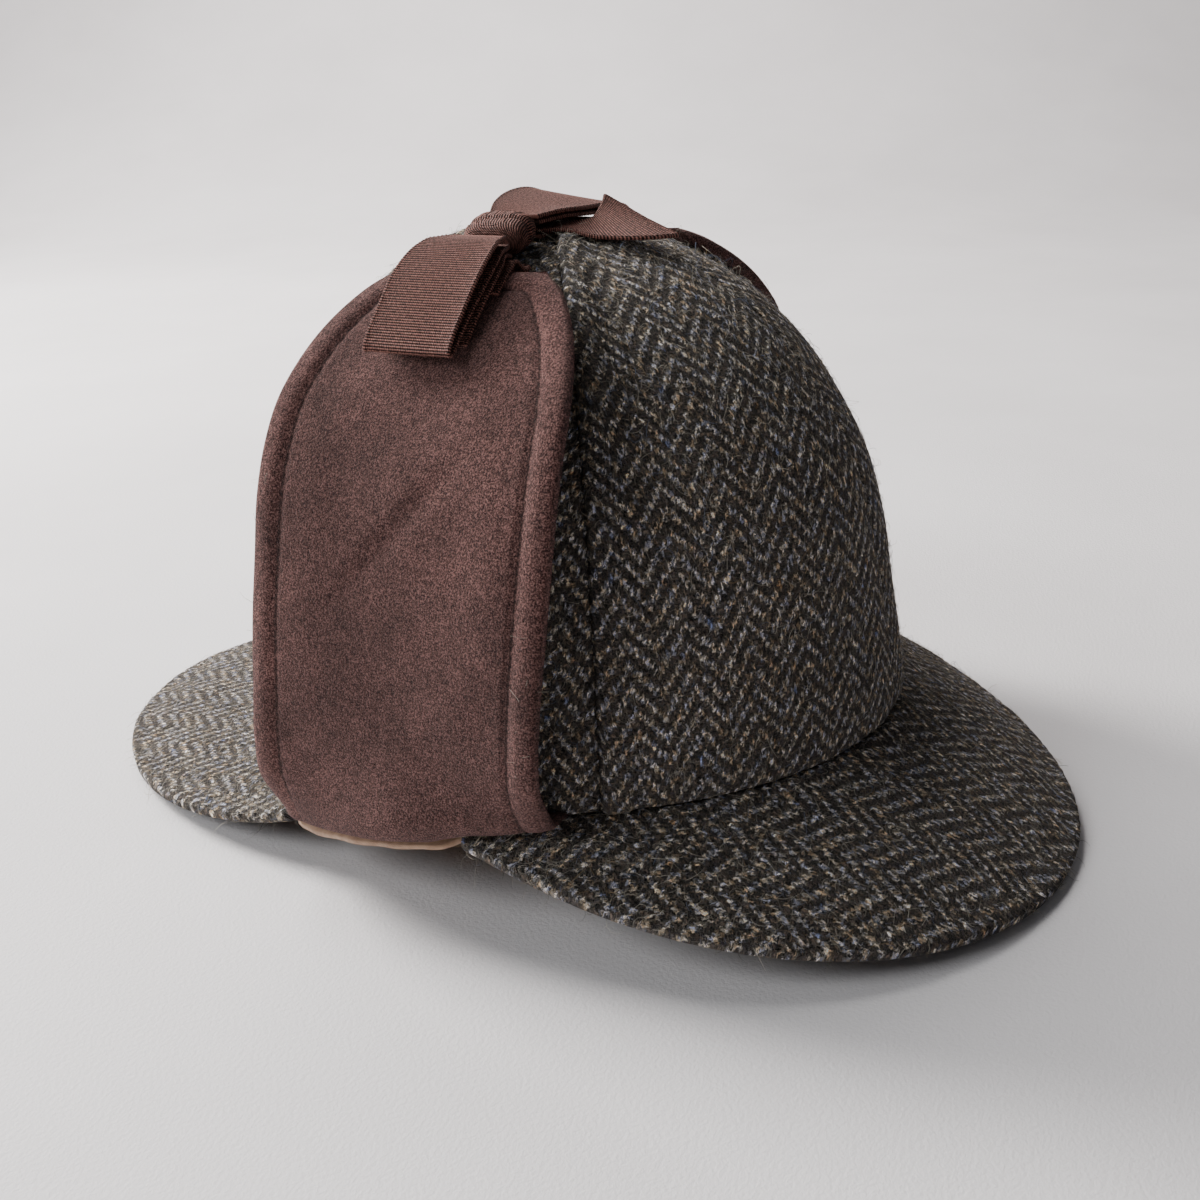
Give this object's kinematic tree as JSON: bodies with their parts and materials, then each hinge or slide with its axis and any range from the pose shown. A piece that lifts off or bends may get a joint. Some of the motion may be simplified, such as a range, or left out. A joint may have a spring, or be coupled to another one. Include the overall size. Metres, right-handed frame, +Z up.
{
  "type": "deerstalker hat",
  "caption": "Herringbone tweed deerstalker with a panelled crown, a peak at front and rear, and ear flaps folded up and tied over the top with a ribbon bow.",
  "frame": {"origin": "middle of the hat's box, on the surface that its two peaks rest on", "axes": "+Z up, the front of the hat faces -Y and the wearer's right side is at -X"},
  "size_m": [0.198, 0.3072, 0.1704],
  "materials": {
    "tweed": "rough wool herringbone in charcoal, oatmeal, olive and slate blue",
    "moleskin": "brushed plum brown cotton",
    "lining": "smooth tan lining cloth",
    "grosgrain": "ribbed dark brown ribbon"
  },
  "bodies": {
    "root": {"crown_panel_front_right": "tweed", "crown_panel_side_right": "tweed", "crown_panel_rear_right": "tweed", "crown_panel_rear_left": "tweed", "crown_panel_side_left": "tweed", "crown_panel_front_left": "tweed", "lining": "lining", "peak_front": "tweed", "peak_rear": "tweed", "flap_facing_right": "moleskin", "flap_facing_left": "moleskin", "flap_backing_right": "tweed", "flap_backing_left": "tweed", "ribbon_loop_right": "grosgrain", "ribbon_loop_left": "grosgrain", "ribbon_tail_right": "grosgrain", "ribbon_tail_front": "grosgrain", "ribbon_lead_right": "grosgrain", "ribbon_lead_left": "grosgrain", "ribbon_knot": "grosgrain"}
  },
  "joints": []
}
